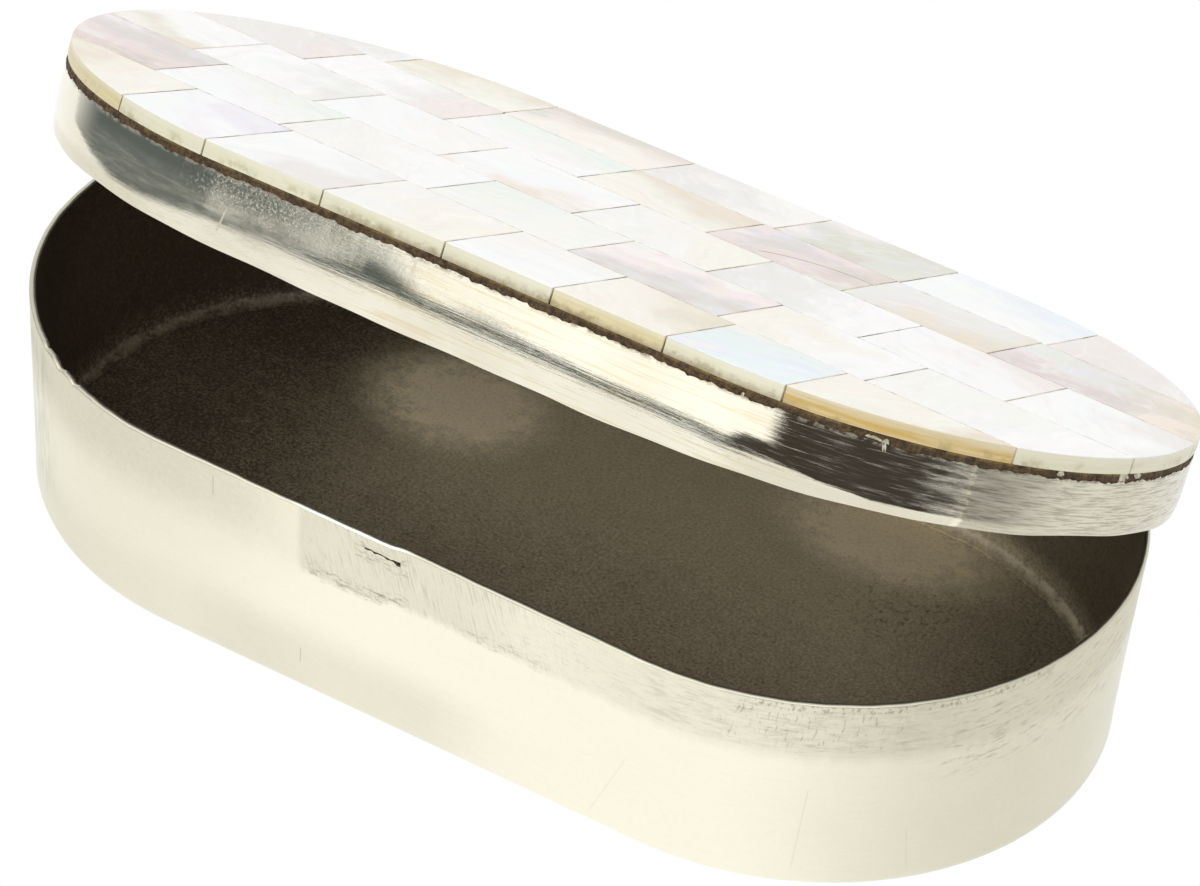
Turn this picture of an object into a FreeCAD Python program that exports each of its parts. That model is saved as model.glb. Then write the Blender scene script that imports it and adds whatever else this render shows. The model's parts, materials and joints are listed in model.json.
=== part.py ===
import FreeCAD, Part
import math
import os

# Oval trinket box: a sheet-metal base, and a lid faced with mother-of-pearl tiles that caps the
# outside of the base wall. The hinge is behind the box and a snap catch is at the front.
# Millimetres. +X runs along the box, -Y is its front, +Y its back and +Z is up.
# The origin is the centre of the flat underside. The lid is drawn shut, then swung open.

# Base: a strip wall that stands on a pressed pan of the same sheet. The wall leans in towards
# its foot, and length and width are measured over its rim.
length = 100.0
width = 53.8
base_height = 19.7
sheet = 0.55
wall_lean = 0.8
pan_edge_radius = 1.6
pan_lip = 0.3
rim_rounding = 0.12

# Solder run in the corner round the pan's floor, over the seam between pan and wall
solder_width = 1.5
solder_rise = 0.5
solder_edge = 0.12
solder_hollow = 0.25

# Snap catch: a slit below the rim, with the ledge above it pressed out into a bead
catch_offset = -1.6
slit_length = 3.6
slit_height = 0.4
ledge_height = 1.1
bead_length = 3.0
bead_height = 0.7
bead_stand = 0.1

# Lid: a band round the outside of the base wall, closed by a plate
lid_gap = 0.35
band_sheet = 0.55
band_height = 5.0
band_tuck = 0.22
band_tuck_height = 2.0
plate_sheet = 0.6
shut_gap = 0.1
lid_angle = 24.0

# Pearl tiles in a bed of cement on the plate
cement_thickness = 0.45
cement_inset = 0.35
pearl_thickness = 1.4
tile_gap = 0.16

# Course joints as shares of the lid's half width, back to front, and the butt joints of each
# course as shares of the lid's half length, left to right. The courses lie a little askew.
course_turn = -2.3
course_joint_shares = [0.619, 0.248, -0.169, -0.568]
butt_joint_shares = [
    [-0.705, -0.458, -0.181, 0.090, 0.336, 0.617],
    [-0.745, -0.454, -0.183, 0.071, 0.332, 0.607],
    [-0.819, -0.572, -0.320, -0.057, 0.202, 0.487, 0.756],
    [-0.747, -0.495, -0.204, 0.067, 0.348, 0.617],
    [-0.658, -0.466, -0.242, -0.016, 0.181, 0.383, 0.587],
]

# Hinge: tube knuckles on a bar behind the base and on a strip behind the lid, round one pin
hinge_length = 30.0
knuckle_count = 5
knuckle_radius = 1.1
knuckle_end_gap = 0.12
pin_radius = 0.55
pin_clearance = 0.05
pin_end = 0.3
swing_gap = 0.25
strip_sheet = 0.4
strip_height = 4.0
strip_lift = 0.2
bar_height = 1.8
bar_gap = 0.15

# How far a cutting shape runs past what it cuts
overrun = 1.0

# Places that follow from the sizes above
half_width = width / 2
half_flank = (length - width) / 2
lid_overhang = lid_gap + band_sheet
lid_half_length = length / 2 + lid_overhang
lid_half_width = half_width + lid_overhang
pan_inner_radius = pan_edge_radius - sheet
seam_z = pan_edge_radius + pan_lip
plate_z = base_height + shut_gap
band_z = plate_z - band_height
cement_z = plate_z + plate_sheet
pearl_z = cement_z + cement_thickness
strip_back_y = lid_half_width + strip_sheet
axis_y = strip_back_y + swing_gap + knuckle_radius
axis_z = band_z
bar_top_z = axis_z - knuckle_radius - bar_gap

V = FreeCAD.Vector
UP = V(0, 0, 1)
ALONG = V(1, 0, 0)


def line(start, end):
    return Part.makeLine(start, end)


def arc(start, middle, end):
    return Part.Arc(start, middle, end).toShape()


def face_of(edges):
    return Part.Face(Part.Wire(edges))


def box_between(low, high):
    """Block between two opposite corners."""
    size = high - low
    return Part.makeBox(size.x, size.y, size.z, low)


def oval_block(out, z, height):
    """Block on the box's outline moved out by a distance: two flanks and two half-round ends."""
    r = half_width + out
    tip = half_flank + r
    outline = [
        line(V(-half_flank, -r, z), V(half_flank, -r, z)),
        arc(V(half_flank, -r, z), V(tip, 0, z), V(half_flank, r, z)),
        line(V(half_flank, r, z), V(-half_flank, r, z)),
        arc(V(-half_flank, r, z), V(-tip, 0, z), V(-half_flank, -r, z)),
    ]
    return face_of(outline).extrude(UP * height)


def on_section(out, z):
    """Point of a ring's section, at a distance out from the rim's outer edge."""
    return V(half_flank, -half_width - out, z)


def wall_out(z):
    """How far out the leaning wall's outer face is at a height: zero at the rim."""
    return -wall_lean * (base_height - z) / (base_height - seam_z)


def oval_ring(section):
    """Ring of one section right round the box: each half is a straight flank and a round end."""
    flank = section.extrude(ALONG * (-2 * half_flank))
    end = section.revolve(V(half_flank, 0, 0), UP, 180)
    half = flank.fuse(end)
    other = half.copy()
    other.rotate(V(0, 0, 0), UP, 180)
    return half.fuse(other).removeSplitter()


def edges_at(shape, z):
    """Edges of a shape that lie flat at a height."""
    near = sheet / 1000
    return [e for e in shape.Edges if e.BoundBox.ZLength < near and abs(e.BoundBox.ZMin - z) < near]


def save(shape, node):
    shape.exportStep("parts/" + node + ".step")


def save_on_lid(shape, node):
    """Swings a piece that was drawn on the shut lid open about the hinge, and saves it."""
    shape.rotate(V(0, axis_y, axis_z), -ALONG, lid_angle)
    save(shape, node)


def base_pan():
    block = oval_block(-wall_lean, 0, seam_z)
    block = block.makeFillet(pan_edge_radius, edges_at(block, 0))
    hollow = oval_block(-wall_lean - sheet, sheet, seam_z)
    hollow = hollow.makeFillet(pan_inner_radius, edges_at(hollow, sheet))
    return block.cut(hollow)


def plain_wall():
    """Wall before the catch is made in it."""
    corners = [
        on_section(-wall_lean, seam_z),
        on_section(0, base_height),
        on_section(-sheet, base_height),
        on_section(-wall_lean - sheet, seam_z),
    ]
    wall = oval_ring(face_of([line(a, b) for a, b in zip(corners, corners[1:] + corners[:1])]))
    return wall.makeFillet(rim_rounding, edges_at(wall, base_height))


def base_wall():
    slit_top_z = base_height - ledge_height
    slit = box_between(
        V(catch_offset - slit_length / 2, -half_width - overrun, slit_top_z - slit_height),
        V(catch_offset + slit_length / 2, -half_width + wall_lean + sheet + overrun, slit_top_z),
    )
    return plain_wall().cut(slit).fuse(catch_bead()).removeSplitter()


def catch_bead():
    """Rounded ridge along the ledge between the slit and the rim, rooted in the wall's sheet."""
    x = catch_offset - bead_length / 2
    middle_z = base_height - ledge_height / 2
    low_z = middle_z - bead_height / 2
    high_z = middle_z + bead_height / 2
    root_y = -half_width + sheet / 2
    low = V(x, -half_width - wall_out(low_z), low_z)
    high = V(x, -half_width - wall_out(high_z), high_z)
    crest = V(x, -half_width - wall_out(middle_z) - bead_stand, middle_z)
    low_root = V(x, root_y, low_z)
    high_root = V(x, root_y, high_z)
    root = [line(high, high_root), line(high_root, low_root), line(low_root, low)]
    return face_of([arc(low, crest, high)] + root).extrude(ALONG * bead_length)


def solder_run():
    """Fillet of solder in the pan's inner corner that laps on to the wall above the seam."""
    top_z = seam_z + solder_rise
    pan_in = -wall_lean - sheet
    wall_top = on_section(wall_out(top_z) - sheet, top_z)
    free_top = on_section(wall_out(top_z) - sheet - solder_edge, top_z)
    free_foot = on_section(pan_in - solder_width, sheet + solder_edge)
    floor_end = on_section(pan_in - solder_width, sheet)
    bend_foot = on_section(pan_in - pan_inner_radius, sheet)
    bend_top = on_section(pan_in, sheet + pan_inner_radius)
    bend_depth = pan_inner_radius * (1 - math.cos(math.radians(45)))
    bend_middle = on_section(pan_in - bend_depth, sheet + bend_depth)
    seam = on_section(pan_in, seam_z)
    chord = free_foot - free_top
    inward = chord.cross(ALONG).normalize()
    free_middle = free_top + chord / 2 + inward * solder_hollow
    return oval_ring(face_of([
        line(wall_top, free_top),
        arc(free_top, free_middle, free_foot),
        line(free_foot, floor_end),
        line(floor_end, bend_foot),
        arc(bend_foot, bend_middle, bend_top),
        line(bend_top, seam),
        line(seam, wall_top),
    ]))


def lid_band():
    """Ring with a straight inside, and an outside that rolls in towards its lower edge."""
    bend_z = band_z + band_tuck_height
    middle_z = band_z + band_tuck_height / 2
    roll_radius = (band_tuck_height ** 2 + band_tuck ** 2) / (2 * band_tuck)
    middle_tuck = roll_radius - math.sqrt(roll_radius ** 2 - (bend_z - middle_z) ** 2)
    inner_low = on_section(lid_gap, band_z)
    inner_high = on_section(lid_gap, plate_z)
    outer_high = on_section(lid_overhang, plate_z)
    outer_bend = on_section(lid_overhang, bend_z)
    outer_middle = on_section(lid_overhang - middle_tuck, middle_z)
    outer_low = on_section(lid_overhang - band_tuck, band_z)
    return oval_ring(face_of([
        line(inner_low, inner_high),
        line(inner_high, outer_high),
        line(outer_high, outer_bend),
        arc(outer_bend, outer_middle, outer_low),
        line(outer_low, inner_low),
    ]))


def pearl_tiles():
    """Every tile with its node name: a cell of the course pattern cut from the lid's outline."""
    slab = oval_block(lid_overhang, pearl_z, pearl_thickness)
    half_gap = tile_gap / 2
    reach = lid_half_length + overrun
    joints_y = [reach] + [share * lid_half_width for share in course_joint_shares] + [-reach]
    tiles = []
    for row, butt_shares in enumerate(butt_joint_shares):
        joints_x = [-reach] + [share * lid_half_length for share in butt_shares] + [reach]
        for place in range(len(joints_x) - 1):
            cell = box_between(
                V(joints_x[place] + half_gap, joints_y[row + 1] + half_gap, pearl_z),
                V(joints_x[place + 1] - half_gap, joints_y[row] - half_gap, pearl_z + pearl_thickness),
            )
            cell.rotate(V(0, 0, 0), UP, course_turn)
            tiles.append((slab.common(cell), f"pearl_tile_row{row + 1}_{place + 1}"))
    return tiles


def hinge_bar():
    """Bar along the back of the base wall, fitted to its lean, that carries the base's knuckles."""
    bar_z = bar_top_z - bar_height
    in_sheet_y = half_width + wall_out(bar_z) - sheet / 2
    bar = box_between(
        V(-hinge_length / 2, in_sheet_y, bar_z),
        V(hinge_length / 2, axis_y + knuckle_radius, bar_top_z),
    )
    return bar.cut(plain_wall())


def hinge_strip():
    """Strip along the back of the lid band that carries the lid's knuckles."""
    return box_between(
        V(-hinge_length / 2, lid_half_width, band_z + strip_lift),
        V(hinge_length / 2, strip_back_y, band_z + strip_lift + strip_height),
    )


def knuckle(place, foot_low_y, foot_low_z, foot_high_z):
    """Tube on the hinge axis with a square foot that meets what carries it."""
    pitch = hinge_length / knuckle_count
    start = -hinge_length / 2 + place * pitch + knuckle_end_gap / 2
    end = start + pitch - knuckle_end_gap
    tube = Part.makeCylinder(knuckle_radius, end - start, V(start, axis_y, axis_z), ALONG)
    foot = box_between(V(start, foot_low_y, foot_low_z), V(end, axis_y + knuckle_radius, foot_high_z))
    bore_radius = pin_radius + pin_clearance
    bore_length = end - start + 2 * overrun
    bore = Part.makeCylinder(bore_radius, bore_length, V(start - overrun, axis_y, axis_z), ALONG)
    return tube.fuse(foot).removeSplitter().cut(bore)


def hinge_pin():
    pin_length = hinge_length + 2 * pin_end
    return Part.makeCylinder(pin_radius, pin_length, V(-pin_length / 2, axis_y, axis_z), ALONG)


os.makedirs("parts", exist_ok=True)

save(base_pan(), "base_pan")
save(base_wall(), "base_wall")
save(solder_run(), "solder_run")
save(hinge_bar(), "base_hinge_bar")
save(hinge_pin(), "hinge_pin")

save_on_lid(lid_band(), "lid_band")
save_on_lid(oval_block(lid_overhang, plate_z, plate_sheet), "lid_plate")
save_on_lid(oval_block(lid_overhang - cement_inset, cement_z, cement_thickness), "cement_bed")
save_on_lid(hinge_strip(), "lid_hinge_strip")

for tile, node in pearl_tiles():
    save_on_lid(tile, node)

# Odd knuckles stand on the base's bar, and the even ones between them hang on the lid's strip
for place in range(knuckle_count):
    if place % 2 == 0:
        foot_low_y = axis_y - knuckle_radius
        save(knuckle(place, foot_low_y, bar_top_z, axis_z), f"base_knuckle_{place // 2 + 1}")
    else:
        foot_high_z = axis_z + knuckle_radius
        save_on_lid(knuckle(place, strip_back_y, axis_z, foot_high_z), f"lid_knuckle_{place // 2 + 1}")
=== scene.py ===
import json
import math
from functools import partialmethod

import bmesh
import bpy
import numpy as np
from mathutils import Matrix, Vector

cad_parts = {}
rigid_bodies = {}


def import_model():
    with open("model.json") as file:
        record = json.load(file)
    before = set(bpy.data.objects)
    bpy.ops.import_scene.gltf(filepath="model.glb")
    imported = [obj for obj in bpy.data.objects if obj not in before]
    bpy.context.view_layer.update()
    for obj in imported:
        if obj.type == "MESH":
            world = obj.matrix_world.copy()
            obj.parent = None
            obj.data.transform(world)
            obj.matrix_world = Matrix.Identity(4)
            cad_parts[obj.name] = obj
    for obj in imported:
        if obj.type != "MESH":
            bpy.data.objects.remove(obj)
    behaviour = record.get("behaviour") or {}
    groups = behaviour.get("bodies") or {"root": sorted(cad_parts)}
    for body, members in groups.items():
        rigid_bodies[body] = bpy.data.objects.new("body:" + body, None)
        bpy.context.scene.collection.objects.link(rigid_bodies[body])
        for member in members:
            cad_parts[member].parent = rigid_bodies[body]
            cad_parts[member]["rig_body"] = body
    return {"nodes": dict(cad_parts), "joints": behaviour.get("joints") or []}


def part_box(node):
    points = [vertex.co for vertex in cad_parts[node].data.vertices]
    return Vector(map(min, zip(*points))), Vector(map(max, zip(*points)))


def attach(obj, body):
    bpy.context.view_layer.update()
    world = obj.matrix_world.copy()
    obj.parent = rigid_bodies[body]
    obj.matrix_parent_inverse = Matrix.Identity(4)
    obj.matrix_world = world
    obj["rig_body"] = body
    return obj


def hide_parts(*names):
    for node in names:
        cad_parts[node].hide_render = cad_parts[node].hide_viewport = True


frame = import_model()
nodes = frame["nodes"]
scene = bpy.context.scene
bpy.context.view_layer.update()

# Base pan: the pressed bottom of the box, nickel-silver sheet with a rounded, turned-up edge.
# The wall is soldered on its lip. Outside it is satin from years of rubbing, with painted shade
# towards its ends, and inside it has tarnished to an olive brown, with painted light and shade on it.
mm = 0.001
wall_low, wall_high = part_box("base_wall")
half_length = wall_high.x / mm
half_width = wall_high.y / mm
half_flank = half_length - half_width
base_height = wall_high.z / mm
seam_z = wall_low.z / mm
pan_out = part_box("base_pan")[1].y / mm
wall_lean = half_width - pan_out
sheet = 0.55
pan_round = 1.6
pan_step = 0.5
sharp_corner = 40
weld = 0.0005
# Fine scratches up the outside: weight, place along the wall, lower and upper end, lean
wall_scratches = [
    (1.0, -18.1, 16.6, 18.7, 0.0),
    (1.0, -9.3, 3.1, 4.7, 0.0),
    (0.4, 36.7, 2.2, 10.7, 0.08),
    (0.4, 46.4, 1.9, 6.1, -0.12),
    (0.3, 18.8, 1.6, 8.8, 0.43),
]


class Shade:
    """A value in a node tree. Operators on it add Math nodes, and node() adds any other node."""

    def __init__(self, tree, socket=None):
        self.tree = tree
        self.socket = socket

    def node(self, kind, inputs=None, output=0, stops=None, **settings):
        """Adds a node: its settings and ramp stops first, then the values or links of its sockets."""
        made = self.tree.nodes.new("ShaderNode" + kind)
        for name, value in settings.items():
            setattr(made, name, value)
        if stops:
            ramp = made.color_ramp.elements
            while len(ramp) < len(stops):
                ramp.new(1.0)
            for element, (place, colour) in zip(ramp, stops):
                element.position = place
                element.color = colour
        for name, value in (inputs or {}).items():
            if isinstance(value, Shade):
                self.tree.links.new(value.socket, made.inputs[name])
            else:
                made.inputs[name].default_value = value
        return Shade(self.tree, made.outputs[output] if made.outputs else None)

    def calc(self, operation, *others):
        return self.node("Math", dict(enumerate((self,) + others)), operation=operation)

    __add__ = __radd__ = partialmethod(calc, "ADD")
    __sub__ = partialmethod(calc, "SUBTRACT")
    __mul__ = __rmul__ = partialmethod(calc, "MULTIPLY")
    __truediv__ = partialmethod(calc, "DIVIDE")
    size = partialmethod(calc, "ABSOLUTE")
    at_least = partialmethod(calc, "MAXIMUM")
    at_most = partialmethod(calc, "MINIMUM")

    def __rsub__(self, other):
        return self.node("Math", {0: other, 1: self}, operation="SUBTRACT")

    def __neg__(self):
        return 0.0 - self

    def step(self, low, high):
        """0 at low and 1 at high, smooth between. Low may be the larger."""
        ends = {"Value": self, "From Min": low, "From Max": high}
        return self.node("MapRange", ends, interpolation_type="SMOOTHSTEP")

    def between(self, low, high, soft):
        """1 from low to high, falling to 0 over the soft distance outside them."""
        return self.step(low - soft, low) * self.step(high + soft, high)

    def mix(self, low, high):
        """Colour low where this value is 0, and high where it is 1."""
        return self.node("Mix", {0: self, 6: low, 7: high}, output=2, data_type="RGBA")

    def part(self, axis):
        return self.node("SeparateXYZ", {0: self}, output=axis)

    def vector(self, x, y, z):
        return self.node("CombineXYZ", {0: x, 1: y, 2: z})

    def times(self, x, y, z):
        """This vector with each part scaled, which stretches a pattern along the small ones."""
        return self.node("VectorMath", {0: self, 1: (x, y, z)}, operation="MULTIPLY")

    def away(self, x, y, z):
        """Distance of this place from a point."""
        return self.node("VectorMath", {0: self, 1: (x, y, z)}, output="Value", operation="DISTANCE")

    def noise(self, scale, detail=2.0, rough=0.5):
        sockets = {"Vector": self, "Scale": scale, "Detail": detail, "Roughness": rough}
        return self.node("TexNoise", sockets, output="Fac")

    def attribute(self, name, output):
        return self.node("Attribute", output=output, attribute_name=name)

    def bump(self, strength, depth):
        """Normal of a surface that this value raises, by depth in millimetres."""
        sockets = {"Height": self, "Strength": strength, "Distance": depth * mm}
        return self.node("Bump", sockets, output="Normal")


def tint(red, green, blue):
    """Screen colour, 0 to 255, as the light values that a shader takes."""
    shares = np.array([red, green, blue]) / 255
    light = np.where(shares <= 0.04045, shares / 12.92, ((shares + 0.055) / 1.055) ** 2.4)
    return (*light.tolist(), 1.0)


def layered(colour, *layers):
    """A colour with others laid over it in turn, each as far as its own value says."""
    for share, screen_colour in layers:
        colour = share.mix(colour, tint(*screen_colour))
    return colour


def new_finish(name):
    """Empty material, and Object coordinates in millimetres in it."""
    material = bpy.data.materials.new(name)
    material.use_nodes = True
    material.node_tree.nodes.clear()
    place = Shade(material.node_tree).node("TexCoord", output="Object")
    return material, place.times(1 / mm, 1 / mm, 1 / mm)


def end_finish(place, colour, roughness, normal, metallic=0.0, specular=0.5):
    """Principled shader with these values, as the material's surface."""
    sockets = {"Base Color": colour, "Roughness": roughness, "Normal": normal,
               "Metallic": metallic, "Specular IOR Level": specular}
    shader = place.node("BsdfPrincipled", sockets)
    place.node("OutputMaterial", {"Surface": shader})


def spine_distance(place):
    """Distance from the oval's spine, the line between the centres of its round ends."""
    beyond = (place.part("X").size() - half_flank).at_least(0.0)
    return (beyond * beyond + place.part("Y").calc("POWER", 2.0)).calc("SQRT")


def hairline(run, height, at, low, high, lean, width=0.09):
    """Fine scratch up the wall: 1 on a line through a place along the wall, and 0 beside it."""
    off = (run - at - lean * (height - low)).size()
    return off.step(width, 0.3 * width) * height.between(low + 0.3, high - 0.3, 0.5)


def tarnish_and_light_colour(place):
    """Olive brown tarnish of the box's inside, with painted light and shade: paler to the back, where
    light from the front falls, painted shade on the walls and at the left end, two pale patches
    painted for a reflection off the floor, clouds, dark specks and fine grain."""
    across, deep, height = [place.part(axis) for axis in "XYZ"]
    clouds = place.noise(0.055, 3.0, 0.55)
    mottle = place.noise(0.9, 5.0, 0.7)
    grain = place.noise(3.5, 3.0, 0.7)
    # Painted light and shade: paler to the back where light through the front falls, darker at the left end
    # under the lid
    lit = 0.06 + 0.34 * deep.step(-12.0, 20.0) * across.step(-36.0, -14.0) * across.step(42.0, 20.0)
    lit = lit + 0.12 * across.step(-40.0, -14.0) + 0.16 * (clouds - 0.5)
    # Two pale patches, painted for a reflection off the floor
    left_patch = place.times(1.0, 1.2, 1.0).away(-21.0, 17.5, 0.5).step(11.0, 2.0)
    right_patch = place.times(0.7, 1.2, 1.0).away(14.0, 25.0, 0.5).step(9.5, 2.0)
    lit = lit + (left_patch + 0.8 * right_patch) * (0.5 + 0.45 * mottle.step(0.34, 0.66))
    lit = lit.at_most(0.94)
    specks = place.noise(1.8, 3.0, 0.6).step(0.52, 0.64) * place.away(25.0, 14.0, 0.5).step(9.0, 2.0)
    lit = lit + 0.8 * (grain - 0.5) + 0.22 * (mottle - 0.5) - 0.22 * specks
    # Painted shade: darker up the inside of the walls
    lit = lit * (1.0 - 0.6 * height.step(1.6, 4.0))
    return lit.at_least(0.02).mix(tint(60, 48, 33), tint(255, 238, 200))


def base_sheet_finish():
    """Satin outside, with duller metal and painted shade towards its ends and low at the left, rubbed
    where the lid slides over it, and brown tarnish inside with painted light and shade. Which side a
    point is on follows from its depth below the outer skin, a rounded corner in section. Marks on
    the wall are placed by the distance along it and the height, in millimetres."""
    material, place = new_finish("base_sheet")
    run = place.attribute("run", "Fac")
    across, height = place.part("X"), place.part("Z")
    wall = place.vector(run, 1.0, height)
    below_rim = base_height - height
    lean = (below_rim / (base_height - seam_z)).at_most(1.0) * wall_lean
    edge_in = half_width - lean - spine_distance(place)
    corner_in = (pan_round - edge_in).at_least(0.0).calc("POWER", 2.0)
    corner_up = (pan_round - height).at_least(0.0).calc("POWER", 2.0)
    depth = pan_round - (corner_in + corner_up).calc("SQRT")
    inside = depth.step(0.45 * sheet, 0.6 * sheet) * below_rim.step(0.1, 0.22)

    # Satin: palest right of the middle, duller metal and painted shade to the ends, and painted
    # shade low down at the left
    patches = place.noise(0.06, 3.0)
    grain = place.noise(2.2, 4.0, 0.65)
    dust = place.noise(6.5, 2.0, 0.7)
    dull_and_shade = 0.58 * across.step(29.0, 50.0) + 0.34 * across.step(4.0, -44.0)
    low_left = 0.13 * across.step(24.0, -4.0) + 0.16 * across.between(-13.0, 2.0, 9.0)
    dull_and_shade = dull_and_shade + height.step(9.0, 4.0) * low_left + 0.22 * (patches - 0.45)
    brushed = wall.times(0.25, 3.0, 5.0).noise(1.0, 3.0, 0.6)
    dull_and_shade = dull_and_shade + 0.12 * (brushed - 0.5) + 0.10 * (grain - 0.5) + 0.14 * (dust - 0.5)

    # Rubbed band below the rim: ragged lower edge, deeper about the catch, where it starts sharply,
    # faint left of that. Smudges run down the left end.
    ragged = wall.times(0.5, 0.0, 0.1).noise(1.0, 4.0, 0.65)
    band_depth = 4.9 + 1.6 * ragged + 0.9 * (run + 6.0).size().step(8.0, 1.0)
    feather = 0.5 + 2.2 * run.step(-8.0, -12.0) + 0.5 * run.step(12.0, 30.0)
    below_band = below_rim - band_depth
    rubbed = below_band.step(feather, -feather)
    from_catch = run.step(-10.0, -9.2)
    by_catch = from_catch * run.step(15.0, 4.0)
    dull_and_shade = dull_and_shade + rubbed * (0.10 + 0.22 * by_catch + 0.12 * run.step(8.0, 24.0) * run.step(56.0, 42.0))
    dull_and_shade = dull_and_shade + rubbed * 0.16 * run.step(-10.0, -16.0) * (0.4 + grain)
    smudge = wall.times(0.9, 3.0, 0.25).noise(1.0, 4.0, 0.65).step(0.36, 0.64)
    dull_and_shade = dull_and_shade + 0.3 * smudge * run.between(-50.0, -41.0, 4.0) * height.between(6.0, 17.0, 4.0)

    # Marks in it: strokes up and down by the catch, dashes along it further right, ticks and smears
    # before the right end, scuffs round that end, and flecks just under the rim
    strokes = place.vector(run * 5.0 + height * 1.6, 1.0, height * 0.4).noise(1.0, 3.0, 0.7).step(0.48, 0.68)
    strokes = strokes * from_catch * run.step(22.0, 8.0)
    strokes = strokes * (0.4 + 0.6 * place.noise(0.25).step(0.4, 0.6))
    dashes = wall.times(0.55, 5.0, 6.0).noise(1.0, 4.0, 0.7).step(0.54, 0.68)
    dashes = dashes * run.between(14.0, 47.0, 7.0) * (0.4 + 0.6 * place.noise(0.2, 2.0).step(0.4, 0.6))
    ticks = place.vector(run * 3.2 - height * 0.3, 9.0, height * 0.8).noise(1.0, 3.0, 0.65).step(0.56, 0.66)
    ticks = ticks * run.between(31.0, 43.0, 3.0) * height.between(15.6, 18.2, 1.2)
    smears = wall.times(0.3, 8.0, 1.8).noise(1.0, 5.0, 0.75).step(0.44, 0.66)
    smears = smears * run.between(26.0, 44.0, 8.0) * height.between(15.4, 18.6, 1.6)
    scuffs = place.vector(run * 0.5, 4.0, height * 2.4 - run * 0.25).noise(1.0, 5.0, 0.72).step(0.5, 0.68)
    scuffs = scuffs * run.between(50.0, 70.0, 5.0) * height.between(12.5, 18.6, 2.5)
    scratched = rubbed * (0.32 * strokes + 0.4 * dashes + 0.45 * ticks + 0.3 * smears) + 0.55 * scuffs
    scratched = scratched.at_most(1.0)
    flecks = wall.times(2.5, 2.0, 1.6).noise(1.0, 4.0, 0.65).step(0.50, 0.62)
    flecks = flecks * height.between(19.0, 19.4, 0.35) * run.between(33.0, 56.0, 2.5)

    # Grime caught along the band's lower edge in two places, and painted shade about the slit under the
    # pressed-out ledge
    edge_line = below_band.between(-0.7, -0.1, 0.6)
    crust = wall.times(0.8, 6.0, 2.8).noise(1.0, 6.0, 0.8).step(0.47, 0.64)
    grime = edge_line * crust * (run.between(-8.0, 0.0, 1.5) + 0.5 * run.between(7.0, 13.0, 2.0))
    slit_shade = crust * run.between(-4.0, 0.4, 0.8) * height.between(17.2, 18.6, 0.5)

    fine = sum(weight * hairline(run, height, *line) for weight, *line in wall_scratches)

    outside = layered(
        tint(253, 249, 228),
        # Duller metal and painted shade share this colour
        (dull_and_shade, (186, 182, 160)),
        (scratched, (146, 142, 124)),
        # Grime and flecks, with the painted shade about the slit
        (0.7 * grime + 0.5 * flecks + 0.5 * slit_shade, (112, 108, 88)),
        (0.35 * fine, (150, 146, 126)),
    )
    rim = below_rim.step(0.26, 0.12)
    rim_tone = run.between(-8.5, -0.6, 2.5).mix(tint(200, 196, 178), tint(254, 252, 240))
    outside = rim.mix(outside, rim_tone)

    worn = 0.27 + 0.12 * rubbed + 0.08 * grain - 0.06 * rim
    end_finish(
        place,
        colour=inside.mix(outside, tarnish_and_light_colour(place)),
        metallic=1.0 - 0.85 * inside,
        roughness=worn * (1.0 - inside) + inside * (0.40 + 0.12 * grain),
        normal=(grain - 0.5 * scratched - fine).bump(0.22, 0.05),
    )
    return material


def oval_run(spacing, front_stops=(0.0,)):
    """Path round the oval from the middle of its back, by the left end, front and right end. A point
    at radius r is foot + r * normal: the foot runs along the spine on the straight flanks, and
    stays at a centre while the normal turns round an end. Also gives the distance along it from
    the middle of the front, where columns of points stand at the stops."""
    stops = [-half_flank, *front_stops, half_flank]
    front = np.concatenate([np.linspace(a, b, max(2, round((b - a) / spacing)), endpoint=False)
                            for a, b in zip(stops, stops[1:])])
    turns = np.linspace(0, math.pi, round(math.pi * half_width / spacing), endpoint=False)
    back = np.linspace(0, half_flank, round(half_flank / spacing), endpoint=False)
    to_back, to_front = math.pi / 2, 3 * math.pi / 2
    arc = half_width * turns
    end_of_arc = half_flank + half_width * math.pi
    parts = [
        (-back, to_back, -end_of_arc - (half_flank - back)),
        (-half_flank, to_back + turns, -end_of_arc + arc),
        (front, to_front, front),
        (half_flank, to_front + turns, half_flank + arc),
        (half_flank - back, to_back, end_of_arc + back),
    ]
    parts = [np.broadcast_arrays(*part) for part in parts]
    foot, angle, along = [np.concatenate(values) for values in zip(*parts)]
    return foot, np.stack([np.cos(angle), np.sin(angle)], axis=1), along


def oval_points(run, radius, height):
    """Grid of points, columns round the oval and rows along a section of radius and height."""
    foot, normal, along = run
    radius = np.broadcast_to(radius, (len(along), np.shape(radius)[-1]))
    x = foot[:, None] + radius * normal[:, :1]
    y = radius * normal[:, 1:]
    return np.stack([x, y, np.broadcast_to(height, radius.shape)], axis=2)


def grid_quads(points):
    """Faces of a grid of points that closes on itself round the oval and round its section. They
    look outwards where the section goes up on the outside and down on the inside."""
    columns, rows = points.shape[:2]
    corner = np.arange(columns * rows).reshape(columns, rows)
    next_column = np.roll(corner, -1, axis=0)
    quads = [corner, next_column, np.roll(next_column, -1, axis=1), np.roll(corner, -1, axis=1)]
    return np.stack(quads, axis=2)


def add_object(name, mesh, material, sharp_angle=sharp_corner):
    """Object for a mesh, smooth but for edges over an angle in degrees."""
    mesh.materials.append(material)
    mesh.shade_smooth()
    mesh.set_sharp_from_angle(angle=math.radians(sharp_angle))
    piece = bpy.data.objects.new(name, mesh)
    scene.collection.objects.link(piece)
    return piece


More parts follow.
